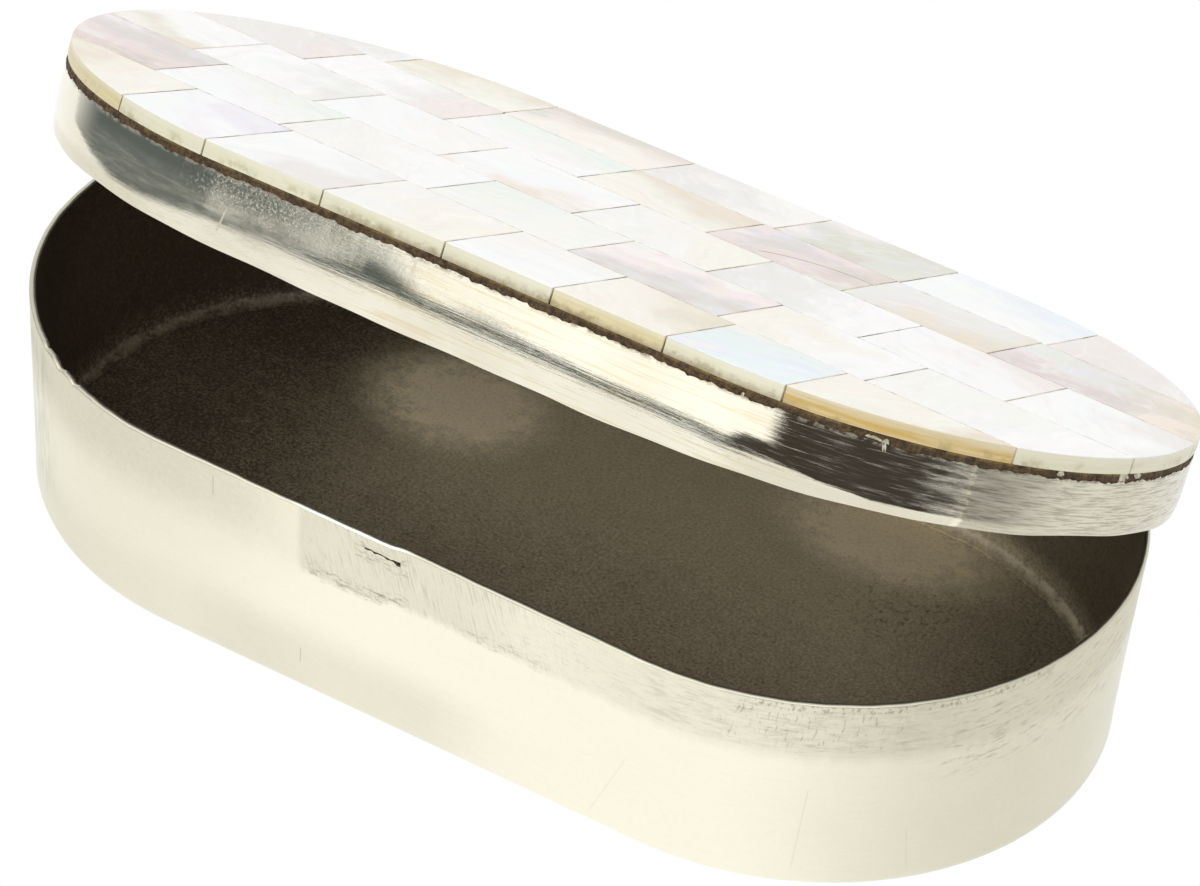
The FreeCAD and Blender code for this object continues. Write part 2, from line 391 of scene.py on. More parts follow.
def add_piece(name, points, quads, material, sharp_angle=sharp_corner, run=None):
    """Object from points in millimetres and faces. Points in one place are merged. The distance
    along its path, if there is one, is kept at each point for the finish."""
    mesh = bpy.data.meshes.new(name)
    mesh.from_pydata(points.reshape(-1, 3) * mm, [], quads.reshape(-1, quads.shape[-1]).tolist())
    if run is not None:
        attribute = mesh.attributes.new("run", "FLOAT", "POINT")
        attribute.data.foreach_set("value", np.repeat(run[2], points.shape[1]))
    shape = bmesh.new()
    shape.from_mesh(mesh)
    bmesh.ops.remove_doubles(shape, verts=shape.verts, dist=weld * mm)
    shape.to_mesh(mesh)
    shape.free()
    return add_object(name, mesh, material, sharp_angle)


def pan_piece():
    """Section: flat out from the spine, a quarter round up to the lip, over its edge, and back
    down a smaller quarter round and along the floor."""
    run = oval_run(pan_step)
    flat = (pan_out - pan_round) * np.linspace(0, 1, 5)[:-1]
    bend = np.linspace(-math.pi / 2, 0, 15)
    inner_bend = bend[::-2]
    small = pan_round - sheet
    radius = np.concatenate([
        flat, pan_out - pan_round + pan_round * np.cos(bend), [pan_out, pan_out - sheet],
        pan_out - pan_round + small * np.cos(inner_bend), flat[::-1],
    ])
    height = np.concatenate([
        0 * flat, pan_round + pan_round * np.sin(bend), [seam_z, seam_z],
        pan_round + small * np.sin(inner_bend), 0 * flat + sheet,
    ])
    points = oval_points(run, radius, height)
    quads = grid_quads(points)[:, :-1]
    return add_piece("pressed_pan", points, quads, base_sheet, run=run)


base_sheet = base_sheet_finish()
pressed_pan = pan_piece()
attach(pressed_pan, "base")
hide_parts("base_pan")

# Base wall: a strip of the same sheet bent round to the oval, leaning in a little to its foot.
# A slit cut below the rim at the front frees a ledge that was pressed out to catch the lid. The
# rim was filed by hand and is nicked at the left.
catch_x = -1.6
slit_length = 3.4
slit_height = 0.22
ledge_height = 1.3
ledge_stand = 0.19
rim_rounding = 0.2
# Nicks in the rim: depth, place along the wall, half width
rim_nicks = [(0.24, -36.6, 0.5), (0.18, -34.0, 0.35), (0.12, -39.5, 0.4)]
wall_step = 0.3
rows_under_slit = 30
rows_in_slit = 3


def ripple(along, lengths, seed):
    """Slow unevenness along a path, between about -1 and 1: sines of a few lengths, out of step."""
    phase = np.random.default_rng(seed).uniform(0, 2 * math.pi, len(lengths))
    waves = [np.sin(2 * math.pi * along / length + start) for length, start in zip(lengths, phase)]
    return sum(waves) / math.sqrt(len(lengths))


def hump(x, middle, half):
    """Smooth hump of height 1 about a middle, down to about a third at half."""
    return np.exp(-((x - middle) / half) ** 2)


def base_wall_piece():
    """Section: up the outside, over the rounded rim and down the inside. Rows follow the slit's
    two edges, its faces are left out, and strips through the sheet close the hole."""
    slit_ends = [catch_x - slit_length / 2, catch_x + slit_length / 2]
    run = oval_run(wall_step, slit_ends)
    normal, along = run[1:]
    x = along[:, None]
    front = (normal[:, 1] < 0)[:, None]
    wall_height = base_height - rim_rounding - seam_z

    # The slit: a thin crooked line that ends at the right in a punched hole
    crooked = 0.05 * ripple(along, [2.9, 1.3, 0.7], 4) - 0.06 * (along - catch_x) / slit_length
    slit_top = base_height - ledge_height + np.clip(crooked, -0.12, 0.12)
    hole = 0.3 * hump(along, slit_ends[1] - 0.2, 0.3)
    opening = slit_height + 0.06 * ripple(along, [1.1, 0.63], 8) + hole
    top_share = (slit_top - seam_z) / wall_height
    foot_share = top_share - np.maximum(opening, 0.06) / wall_height
    side_up = np.hstack([
        np.linspace(0 * foot_share, foot_share, rows_under_slit, endpoint=False, axis=1),
        np.linspace(foot_share, top_share, rows_in_slit, endpoint=False, axis=1),
        np.linspace(top_share, 1 + 0 * top_share, 9, axis=1),
    ])
    turn = np.linspace(0, math.pi, 11)[1:-1]
    over_rim = np.ones((len(along), len(turn)))
    up = np.hstack([side_up, over_rim, side_up[:, ::-1]])
    into_rim = over_rim * sheet * (1 - np.cos(turn)) / 2
    into = np.hstack([0 * side_up, into_rim, 0 * side_up + sheet])
    crown = np.hstack([0 * side_up, over_rim * np.sin(turn), 0 * side_up])

    # The rim: filed a little uneven, and nicked at the left
    filed = 0.03 * ripple(along, [31.0, 17.0, 7.0, 3.1], 1)
    ragged = hump(along, -37.0, 6.0) * (0.05 + 0.05 * ripple(along, [2.3, 1.1, 0.7], 2))
    nicks = sum(depth * hump(along, place, half) for depth, place, half in rim_nicks)
    lowered = np.maximum(0.03 + filed, 0) + np.maximum(ragged, 0) + nicks
    height = seam_z + up * (wall_height - lowered[:, None]) + crown * rim_rounding

    # The lean fades out at the seam, so that the wall runs on into the pan's upright lip
    ease = 0.08
    lean = wall_lean * (1 - up ** 2 / (up + ease) * (1 + ease))
    dents = 0.035 * ripple(along, [53.0, 29.0, 13.0], 3)[:, None] * np.sin(math.pi * up)
    above_slit = np.clip((up - foot_share[:, None]) / (top_share - foot_share)[:, None], 0, 1)
    to_rim = np.clip((up - top_share[:, None]) / (1 - top_share)[:, None], 0, 1)
    ledge_along = np.where(x < catch_x, hump(x, catch_x, 3.6), hump(x, catch_x, 1.5))
    ledge = ledge_along * above_slit * (0.4 + 0.6 * to_rim) * front
    pushed = np.clip((x - catch_x - 0.8) / 1.4, 0, 1)
    pushed = pushed ** 2 * (3 - 2 * pushed) * hump(x, catch_x + 1.6, 9.0)
    drawn_in = (0.2 * pushed + 0.12 * hump(x, catch_x, 3.0)) * np.clip((up - 0.7) / 0.3, 0, 1) ** 1.5
    radius = half_width - lean - into + dents + ledge_stand * ledge - drawn_in * front
    points = oval_points(run, radius, height)

    columns, rows = radius.shape
    quads = grid_quads(points)
    first = int(np.argmin(np.abs(along - slit_ends[0])))
    last = int(np.argmin(np.abs(along - slit_ends[1])))
    low, high = rows_under_slit, rows_under_slit + rows_in_slit
    far = rows - 1
    keep = np.ones((columns, rows), bool)
    keep[first:last, low:high] = False
    keep[first:last, far - high:far - low] = False
    at = np.arange(columns * rows).reshape(columns, rows)
    i = np.arange(first, last)
    j = np.arange(low, high)
    strips = [
        [at[i, low], at[i + 1, low], at[i + 1, far - low], at[i, far - low]],
        [at[i + 1, high], at[i, high], at[i, far - high], at[i + 1, far - high]],
        [at[first, j + 1], at[first, j], at[first, far - j], at[first, far - j - 1]],
        [at[last, j], at[last, j + 1], at[last, far - j - 1], at[last, far - j]],
    ]
    faces = np.concatenate([quads[keep]] + [np.stack(strip, axis=1) for strip in strips])
    return add_piece("wall_strip", points, faces, base_sheet, run=run)


wall_strip = base_wall_piece()
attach(wall_strip, "base")
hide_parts("base_wall")

# Solder run: soft solder run round the inside corner to hold wall and pan together. It was wiped
# hollow with the iron, and has dulled to the sheet's brown, with a painted highlight along the hollow.
solder_width = 1.1
solder_rise = 0.2
solder_edge = 0.1
solder_step = 0.35


def solder_finish():
    material, place = new_finish("dull_solder")
    smear = place.times(0.8, 0.8, 2.0).noise(1.0, 4.0, 0.6)
    waver = place.noise(0.5, 3.0, 0.6)
    # Painted highlight: a paler line along the hollow, stronger towards the right end
    line = (place.part("Z") - 0.5 * waver).between(0.6, 0.85, 0.35) * smear.step(0.3, 0.6)
    brightest = place.part("X").step(-34.0, -16.0) * 0.5 + 0.5 * place.part("X").step(30.0, 40.0)
    colour = (line * (0.2 + 0.4 * brightest)).mix(tarnish_and_light_colour(place), tint(236, 222, 190))
    end_finish(place, colour, metallic=0.15, roughness=0.42, normal=smear.bump(0.3, 0.06))
    return material


def solder_piece():
    """Section: a hollow quarter round from the wall down to the floor, and back up inside the
    sheet of the pan's rounded edge."""
    run = oval_run(solder_step)
    along = run[2]
    pan_in = pan_out - sheet
    share = np.linspace(0, math.pi / 2, 10)
    top_z = seam_z + solder_rise + 0.07 * ripple(along, [19.0, 6.0, 2.7], 6)[:, None]
    foot_in = solder_width + 0.08 * ripple(along, [15.0, 5.0, 2.2], 7)[:, None]
    low_z = sheet + solder_edge
    free_radius = pan_in - foot_in * (1 - np.cos(share))
    free_height = low_z + (top_z - low_z) * (1 - np.sin(share))
    buried = np.full_like(top_z, sheet / 2)
    bend = pan_round - sheet / 2
    bend_radius = pan_out - pan_round + bend * np.sin(share) + 0 * top_z
    bend_height = pan_round - bend * np.cos(share) + 0 * top_z
    radius = np.hstack([pan_in + buried, free_radius, pan_in - foot_in, bend_radius])
    height = np.hstack([top_z, free_height, sheet - buried, bend_height])
    points = oval_points(run, radius, height)
    return add_piece("solder_seam", points, grid_quads(points)[:, :, ::-1], solder_finish(), 60)


solder_seam = solder_piece()
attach(solder_seam, "base")
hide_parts("solder_run")

# Hinge: a bar soldered behind the wall, a strip behind the lid band, five tube knuckles between
# them and one pin. All nickel silver, sawn and filed, so edges are broken and faces are worn.
broken_edge = 0.12
solid_weld = 0.001
flat_angle = 0.5


def hinge_finish():
    material, place = new_finish("hinge_metal")
    wear = place.noise(0.8, 4.0, 0.6)
    file_marks = place.times(0.5, 6.0, 6.0).noise(1.0, 3.0, 0.6)
    colour = wear.step(0.35, 0.7).mix(tint(214, 209, 190), tint(158, 151, 130))
    rough = 0.25 + 0.25 * wear
    end_finish(place, colour, rough, file_marks.bump(0.3, 0.04), metallic=1.0)
    return material


def filed_copy(node, name, material, edge):
    """Copy of a piece with its corners merged and its edges broken by a small round."""
    mesh = bpy.data.meshes.new(name)
    shape = bmesh.new()
    shape.from_mesh(nodes[node].data)
    bmesh.ops.remove_doubles(shape, verts=shape.verts, dist=solid_weld * mm)
    flat = math.radians(flat_angle)
    bmesh.ops.dissolve_limit(shape, angle_limit=flat, verts=shape.verts, edges=shape.edges)
    shape.to_mesh(mesh)
    shape.free()
    piece = add_object(name, mesh, material)
    bevel = piece.modifiers.new("broken_edges", "BEVEL")
    bevel.width = edge * mm
    bevel.segments = 2
    bevel.limit_method = "ANGLE"
    bevel.angle_limit = math.radians(sharp_corner)
    bevel.harden_normals = True
    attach(piece, frame["nodes"][node]["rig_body"])
    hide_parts(node)
    return piece


hinge_metal = hinge_finish()
hinge_nodes = ["base_hinge_bar", "lid_hinge_strip"]
hinge_nodes += [node for node in nodes if "knuckle" in node]
for node in hinge_nodes:
    filed_copy(node, node + "_filed", hinge_metal, broken_edge)
nodes["hinge_pin"].data.materials.clear()
nodes["hinge_pin"].data.materials.append(hinge_metal)

# Lid band and plate: a narrow strip round the lid, rolled in at its lower edge, with a flat plate
# soldered inside its top. The band is polished, pitted at the left and scratched at the right,
# and a coppery line of solder shows in places along its top.
joint = frame["joints"][0]
hinge_y, hinge_z = joint["pos_m"][1] / mm, joint["pos_m"][2] / mm
lid_angle = math.radians(-joint["range_deg"][0])
lid_gap = 0.35
band_sheet = 0.55
band_height = 5.0
plate_sheet = 0.6
shut_gap = 0.1
plate_z = base_height + shut_gap
band_z = plate_z - band_height
cement_z = plate_z + plate_sheet
lid_radius = half_width + lid_gap + band_sheet
plate_inset = 0.3
plate_step = 1.0
band_clearance = 0.03
top_clearance = 0.08
top_slope = 0.02
mean_dip = 0.14
deepest_dip = 0.34
edge_rounding = 0.04
lip_inset = 0.1
inner_clearance = 0.05
least_lip = 0.3
lip_depth = 2.0


def turned(x, y, angle):
    """Places in a plane, turned about its origin."""
    sine, cosine = math.sin(angle), math.cos(angle)
    return x * cosine - y * sine, x * sine + y * cosine


def swung_open(points):
    """Points drawn on the shut lid, turned about the hinge to where the photo shows it."""
    y, z = turned(points[..., 1] - hinge_y, points[..., 2] - hinge_z, -lid_angle)
    return np.stack([points[..., 0], hinge_y + y, hinge_z + z], axis=-1)


def swung_shut(place):
    """Object coordinates turned back to the shut lid's, so that patterns follow the lid."""
    turn = {"Vector": place, "Center": (0.0, hinge_y, hinge_z), "Angle": lid_angle}
    return place.node("VectorRotate", turn, rotation_type="X_AXIS")


def lid_metal_finish():
    """Polished band: pitted with matt specks left of the middle, veiled, brushed and scratched at
    the right. The inner face and the plate's underside have the tarnish of the box's inside, with its
    painted light and shade."""
    material, place = new_finish("lid_metal")
    lid = swung_shut(place)
    run = place.attribute("run", "Fac")
    height = lid.part("Z")
    strip = place.vector(run, 1.0, height)
    edge_in = lid_radius - spine_distance(lid)
    inside = (edge_in - 0.3 * height.step(16.5, 13.8)).step(0.50, 0.56) * height.step(plate_z + 0.2, plate_z)

    # Left of the middle: pits, smears and a scar, all matt
    patches = lid.noise(0.12, 3.0)
    grain = lid.noise(3.0, 4.0, 0.7)
    streaks = strip.times(0.10, 0.0, 4.5).noise(1.0, 4.0, 0.65)
    speckle = lid.noise(3.6, 6.0, 0.8)
    upper = height.step(16.4, 18.8)
    pitted = run.between(-22.0, -15.0, 6.0) * speckle.step(0.50, 0.66) * upper
    smears = strip.times(0.3, 4.0, 2.0).noise(1.0, 4.0, 0.7).step(0.4, 0.75)
    scar = hairline(run, height, -21.7, 15.6, 17.6, 0.2, 0.14)
    haze = (0.08 + 0.22 * smears) * run.between(-36.0, -15.0, 5.0) * height.step(19.6, 17.5)
    matt = (0.5 * pitted + haze + 0.35 * scar).at_most(1.0)

    # Right end: brushed from a wavering border on, with a dull veil that starts before it
    border = 43.1 + 1.8 * strip.times(0.0, 2.0, 0.9).noise(1.0, 3.0, 0.6)
    brushed = (run - border).step(-0.3, 0.5) * run.step(88.0, 80.0)
    cloud = strip.times(0.25, 9.0, 2.2).noise(1.0, 4.0, 0.7).step(0.3, 0.7)
    veil = (run + 5.0 * cloud).step(42.0, 48.5) * run.step(66.0, 50.0) * (0.55 + 0.45 * cloud)
    scratches = strip.times(0.35, 7.0, 6.0).noise(1.0, 3.0, 0.7)
    scratched = brushed * scratches.step(0.44, 0.62)
    pale_line = (run - border).size().step(0.45, 0.1) * run.step(30.0, 40.0)
    rubs = strip.times(0.2, 5.0, 5.0).noise(1.0, 3.0, 0.7).step(0.5, 0.7)
    rubs = rubs * run.between(30.0, 43.0, 2.0)

    # Tones: dimmer low down towards the ends, coppery and stained along the top, yellowed in streaks
    dim = brushed * (0.5 + 0.3 * run.step(53.0, 45.0))
    low = height.step(16.4, 15.4) * (1.0 - run.between(-26.0, 24.0, 5.0))
    coppered = run.between(-31.0, -11.0, 3.0) + run.between(3.0, 24.0, 3.0)
    coppered = coppered + run.between(43.0, 48.0, 1.0)
    copper_breaks = strip.times(0.45, 3.0, 0.0).noise(1.0, 3.0, 0.6).step(0.42, 0.58)
    coppery = height.step(plate_z + 0.28, plate_z + 0.42) * coppered * copper_breaks
    yellowed = run.between(-10.0, 30.0, 3.0) * streaks.step(0.50, 0.62)
    stained = height.step(plate_z, plate_z + 0.5) * lid.noise(1.1, 4.0, 0.7).step(0.42, 0.6)
    colour = layered(
        tint(246, 242, 224),
        (patches.step(0.3, 0.7), (236, 230, 210)),
        (matt, (180, 176, 160)),
        (dim, (188, 183, 163)),
        (0.5 * scratched, (112, 108, 94)),
        (0.5 * low, (208, 202, 178)),
        (pale_line, (244, 238, 214)),
        (0.6 * coppery, (196, 156, 134)),
        (0.4 * yellowed, (222, 198, 146)),
        (0.8 * stained, (96, 80, 58)),
    )

    bare = (1.0 - 0.8 * matt - 0.12 * rubs) * (1.0 - 0.5 * veil)
    roughness = 0.03 + 0.03 * streaks + 0.42 * matt + 0.16 * brushed + 0.2 * rubs + 0.14 * veil
    end_finish(
        place,
        colour=inside.mix(colour, tarnish_and_light_colour(lid)),
        metallic=bare * (1.0 - 0.85 * inside) * (1.0 - 0.7 * stained),
        roughness=roughness * (1.0 - inside) + 0.45 * inside,
        normal=(streaks + 0.25 * grain + 0.3 * matt - 0.4 * scratched).bump(0.14, 0.03),
    )
    return material


def lid_band_points():
    """Section: up the outside from the rolled lower edge to the top, over it and down the inside.
    The roll and the lower edge change along the band, which was bent and filed by hand."""
    run = oval_run(wall_step)
    along = run[2]
    share = np.concatenate([np.linspace(0, 0.6, 22), np.linspace(0.6, 1, 9)[1:]])
    places = [-70.0, -45.0, -36.0, -30.0, -8.0, 6.0, 18.0, 27.0, 33.0, 37.0, 45.0, 60.0, 75.0]
    roll_height = [2.4, 3.4, 2.8, 2.2, 4.7, 4.6, 4.1, 3.6, 1.6, 0.9, 0.8, 0.8, 1.4]
    roll_height = np.interp(along, places, roll_height)[:, None]
    tuck = [0.30, 0.38, 0.34, 0.32, 0.48, 0.46, 0.42, 0.38, 0.26, 0.2, 0.18, 0.18, 0.2]
    tuck = np.interp(along, places, tuck)[:, None]
    waver = 0.012 * ripple(along, [37.0, 19.0, 11.0], 11)[:, None]
    bow = np.interp(along, [-60.0, -30.0, -10.0, 15.0, 30.0, 42.0, 48.0, 54.0, 60.0, 80.0],
                    [0.0, -0.4, -1.0, -1.0, -0.4, 0.2, 0.25, 0.8, 0.8, 0.1])
    ironed = np.convolve(np.pad(bow, 12, mode="wrap"), np.full(25, 1 / 25), mode="valid")
    low_edge = (ironed + 0.05 * ripple(along, [43.0, 21.0, 9.0], 12))[:, None]
    full = band_height + plate_sheet
    dips = 0.10 * ripple(along, [17.0, 6.1, 2.9, 1.4], 13) + 0.05 * ripple(along, [0.9, 0.6], 14)
    top_edge = full - top_clearance - np.clip(mean_dip + dips, 0.0, deepest_dip)[:, None]
    up = low_edge + share * (top_edge - low_edge)
    rolled = np.clip(1 - (up - low_edge) / roll_height, 0, None) ** 1.5
    outer = lid_radius - tuck * rolled - band_clearance + waver * np.sin(math.pi * share)
    outer[:, 0] -= edge_rounding
    lip = np.full_like(low_edge, lid_radius - lip_inset)
    inner = np.full_like(low_edge, lid_radius - band_sheet - inner_clearance)
    inner_low = np.minimum(inner, outer[:, :1] - least_lip)
    radius = np.hstack([outer, lip, inner, inner, inner_low])
    top_in = top_edge - top_slope
    height = band_z + np.hstack([up, top_in, top_in, low_edge + lip_depth, low_edge])
    return run, swung_open(oval_points(run, radius, height))


def lid_plate_points():
    """Section: out along the underside from the spine, up the edge and back along the top."""
    run = oval_run(plate_step)
    edge = lid_radius - plate_inset
    heights = [plate_z, plate_z, cement_z, cement_z]
    return swung_open(oval_points(run, [0.0, edge, edge, 0.0], heights))


lid_metal = lid_metal_finish()
band_run, band_points = lid_band_points()
band_strip = add_piece("band_strip", band_points, grid_quads(band_points), lid_metal, run=band_run)
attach(band_strip, "lid")
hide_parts("lid_band")
plate_points = lid_plate_points()
top_plate = add_piece("top_plate", plate_points, grid_quads(plate_points)[:, :-1], lid_metal)
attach(top_plate, "lid")
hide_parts("lid_plate")

# Cement: dark brown shellac cement that beds the pearl on the plate. It shows as a ragged line
# round the lid, and a little of it stands in the joints between the tiles. Near the right end a
# pale drip of it hangs on the band, and crumbs of an old repair stick in the line.
cement_thickness = 0.45
pearl_thickness = 1.4
pearl_z = cement_z + cement_thickness
pearl_top = pearl_z + pearl_thickness
cement_inset = 0.16
cement_clearance = 0.05
belly_clearance = 0.045
bed_inset = 0.4
behind_band = 0.45
cement_step = 0.2
joint_depth = 0.05
fin_root = 0.1
fin_inset = 1.2
fin_step = 0.5
course_turn = math.radians(-2.3)


def cement_finish():
    material, place = new_finish("brown_cement")
    crumbs = place.noise(2.4, 6.0, 0.75)
    clouds = place.noise(0.5, 3.0)
    by_pearl = swung_shut(place).part("Z").step(pearl_z - 0.3, pearl_z - 0.02)
    olive = by_pearl * clouds.step(0.4, 0.6) * 0.7
    colour = layered(tint(42, 29, 15), (crumbs.step(0.35, 0.7), (104, 80, 46)), (olive, (150, 126, 70)))
    end_finish(place, colour, roughness=0.6 + 0.25 * crumbs, normal=crumbs.bump(0.8, 0.2))
    return material


def joint_finish():
    material, place = new_finish("joint_cement")
    fill = place.noise(0.16, 3.0, 0.6)
    crumbs = place.noise(2.4, 4.0, 0.7)
    colour = fill.step(0.40, 0.60).mix(tint(206, 198, 176), tint(112, 98, 74))
    end_finish(place, colour, roughness=0.6 + 0.2 * crumbs, normal=crumbs.bump(0.5, 0.1))
    return material


def pale_glue_finish():
    material, place = new_finish("pale_glue")
    cloud = place.noise(1.6, 4.0, 0.6)
    colour = cloud.step(0.35, 0.65).mix(tint(206, 202, 180), tint(156, 150, 124))
    end_finish(place, colour, roughness=0.35 + 0.3 * cloud, normal=cloud.bump(0.5, 0.15))
    return material


def cement_bed_points():
    """Section: out along the plate from the spine, down behind the band's uneven top, up a ragged
    bulging edge and back under the pearl."""
    run = oval_run(cement_step)
    along = run[2]
    ragged = 0.08 * ripple(along, [13.0, 5.0, 2.3, 1.3, 0.8], 21)
    ragged = ragged + 0.05 * ripple(along, [0.9, 0.55, 0.43], 22)
    squeezed = np.minimum(lid_radius - cement_inset + ragged, lid_radius - cement_clearance)
    share = np.linspace(0, 1, 9)
    belly = 0.06 * np.sin(math.pi * share) * (1 + 0.8 * ripple(along, [3.1, 1.7, 0.9], 23)[:, None])
    edge = np.minimum(squeezed[:, None] + belly, lid_radius - belly_clearance)
    core = np.zeros((len(along), 1))
    radius = np.hstack([core, core + lid_radius - bed_inset, edge, core])
    up_edge = cement_z - behind_band + share * (cement_thickness + behind_band)
    height = np.concatenate([[cement_z, cement_z - behind_band], up_edge, [pearl_z]])
    return swung_open(oval_points(run, radius, height))


def tile_box(node):
    """Lowest and highest corner of a tile along its course, on the shut lid in millimetres. The
    points are turned back about the hinge, and then about the lid's middle."""
    mesh = nodes[node].data
    points = np.empty(3 * len(mesh.vertices))
    mesh.vertices.foreach_get("co", points)
    x, y, z = points.reshape(-1, 3).T / mm
    shut_y = hinge_y + turned(y - hinge_y, z - hinge_z, lid_angle)[0]
    places = np.stack(turned(x, shut_y, -course_turn))
    return places.min(axis=1), places.max(axis=1)


def joint_fin(low, high, seed):
    """Thin wall of cement that fills a joint from one plan corner to the other: four edges carried
    along its length, the upper two wavering, with both ends closed."""
    low, high = np.array(low), np.array(high)
    length = int(np.argmax(high - low))
    steps = max(2, round((high - low)[length] / fin_step))
    along = np.linspace(low[length], high[length], steps + 1)
    top = pearl_top - joint_depth + 0.02 * ripple(along, [3.7, 1.9, 0.9], seed)
    width = 1 - length
    points = np.empty((steps + 1, 4, 3))
    points[:, :, length] = along[:, None]
    points[:, :, width] = np.array([low, high, high, low])[:, width]
    points[:, :2, 2] = pearl_z - fin_root
    points[:, 2:, 2] = top[:, None]
    at = np.arange(4 * (steps + 1)).reshape(-1, 4)
    quads = np.concatenate([*grid_quads(points)[:-1], at[:1], at[-1:, ::-1]])
    return points.reshape(-1, 3), quads if length == 1 else quads[:, ::-1]


def joint_cement_parts():
    """Fins for the joints between courses and between neighbours, cut short of the lid's edge."""
    boxes = {}
    for name in nodes:
        if name.startswith("pearl_tile"):
            row, place = name.replace("pearl_tile_row", "").split("_")
            boxes[int(row), int(place)] = tile_box(name)
    rows = max(row for row, place in boxes)
    reach = lid_radius - fin_inset
    fins = []
    for row in range(1, rows):
        y_low, y_high = boxes[row + 1, 2][1][1], boxes[row, 2][0][1]
        end = half_flank + math.sqrt(reach ** 2 - max(abs(y_low), abs(y_high)) ** 2)
        fins.append(joint_fin((-end, y_low), (end, y_high), 40 + row))
    for (row, place), (low, high) in boxes.items():
        if (row, place + 1) in boxes:
            x_low, x_high = high[0], boxes[row, place + 1][0][0]
            beyond = max(abs(x_low), abs(x_high), half_flank) - half_flank
            edge = math.sqrt(reach ** 2 - beyond ** 2)
            y_low, y_high = max(low[1], -edge), min(high[1], edge)
            fins.append(joint_fin((x_low, y_low), (x_high, y_high), 60 + 10 * row + place))
    counts = np.cumsum([0] + [len(points) for points, quads in fins])
    x, y, z = np.concatenate([points for points, quads in fins]).T
    quads = np.concatenate([quads + start for (points, quads), start in zip(fins, counts)])
    return swung_open(np.stack([*turned(x, y, course_turn), z], axis=1)), quads


def blob_points(turn, inset, height, across, deep, tall, seed, sag):
    """Lump on the lid's edge: a sphere stretched along the edge, out of it and up it, roughened
    by waves over its two angles, and drawn down on one side by the sag."""
    lengthwise = np.linspace(0, 2 * math.pi, 28, endpoint=False)[:, None]
    polar = np.linspace(0, math.pi, 17)[None, :]
    rough = 1 + 0.16 * ripple(3 * lengthwise + 2 * polar, [2.1, 3.2], seed) * np.sin(polar)
    u = across * rough * np.sin(polar) * np.cos(lengthwise)
    v = deep * rough * np.sin(polar) * np.sin(lengthwise)
    w = tall * rough * np.cos(polar)
    w = w - sag * np.clip(u / across, 0, None)
    x, y = turned(u, inset - lid_radius - v, turn)
    return swung_open(np.stack([half_flank + x, y, height + w], axis=2))


bed_points = cement_bed_points()
cement = add_piece("cement_squeeze", bed_points, grid_quads(bed_points)[:, :-1], cement_finish(), 70)
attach(cement, "lid")
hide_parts("cement_bed")
joint_cement = add_piece("joint_cement", *joint_cement_parts(), joint_finish())
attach(joint_cement, "lid")

pale_glue = pale_glue_finish()
# Each lump: degrees round the right end from the front, distance in from the lid's outline, height
# on the shut lid, half sizes along, out of and up the edge, seed, sag
glue_lumps = [
    ("glue_drip", 29.5, 0.16, 19.95, 0.30, 0.16, 0.62, 31, 0.0),
    ("glue_run", 27.5, 0.18, 20.42, 0.85, 0.16, 0.14, 32, 0.12),
    ("glue_crumb_1", 75.0, 0.20, 20.55, 0.75, 0.2, 0.48, 33, 0.0),
    ("glue_crumb_2", 79.0, 0.22, 20.62, 0.5, 0.2, 0.3, 34, 0.1),
    ("glue_crumb_3", 60.5, 0.22, 20.6, 0.35, 0.2, 0.25, 35, 0.0),
]
for name, turn, *sizes in glue_lumps:
    lump_points = blob_points(math.radians(turn), *sizes)
    lump = add_piece(name, lump_points, grid_quads(lump_points)[:, :-1, ::-1], pale_glue)
    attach(lump, "lid")

# Pearl tiles: 37 pieces of mother-of-pearl sawn from shell, in five courses, ground flat together
# and polished. Tones differ with the part of the shell: white, cream, tan, mauve, blue and green.
# The sawn edges show the shell's layers, ivory to amber.
tile_edge = 0.05
white = tint(235, 235, 234)
milk = tint(232, 231, 225)
cream = tint(232, 228, 214)
grey = tint(218, 215, 210)
rose = tint(221, 211, 206)
mauve = tint(200, 188, 184)
brown = tint(192, 176, 160)
tan = tint(212, 198, 168)
olive = tint(194, 190, 172)
blue = tint(213, 224, 231)
green = tint(218, 227, 217)
lilac = tint(219, 215, 228)
ivory = tint(214, 210, 184)
straw = tint(208, 194, 146)
amber = tint(198, 168, 98)
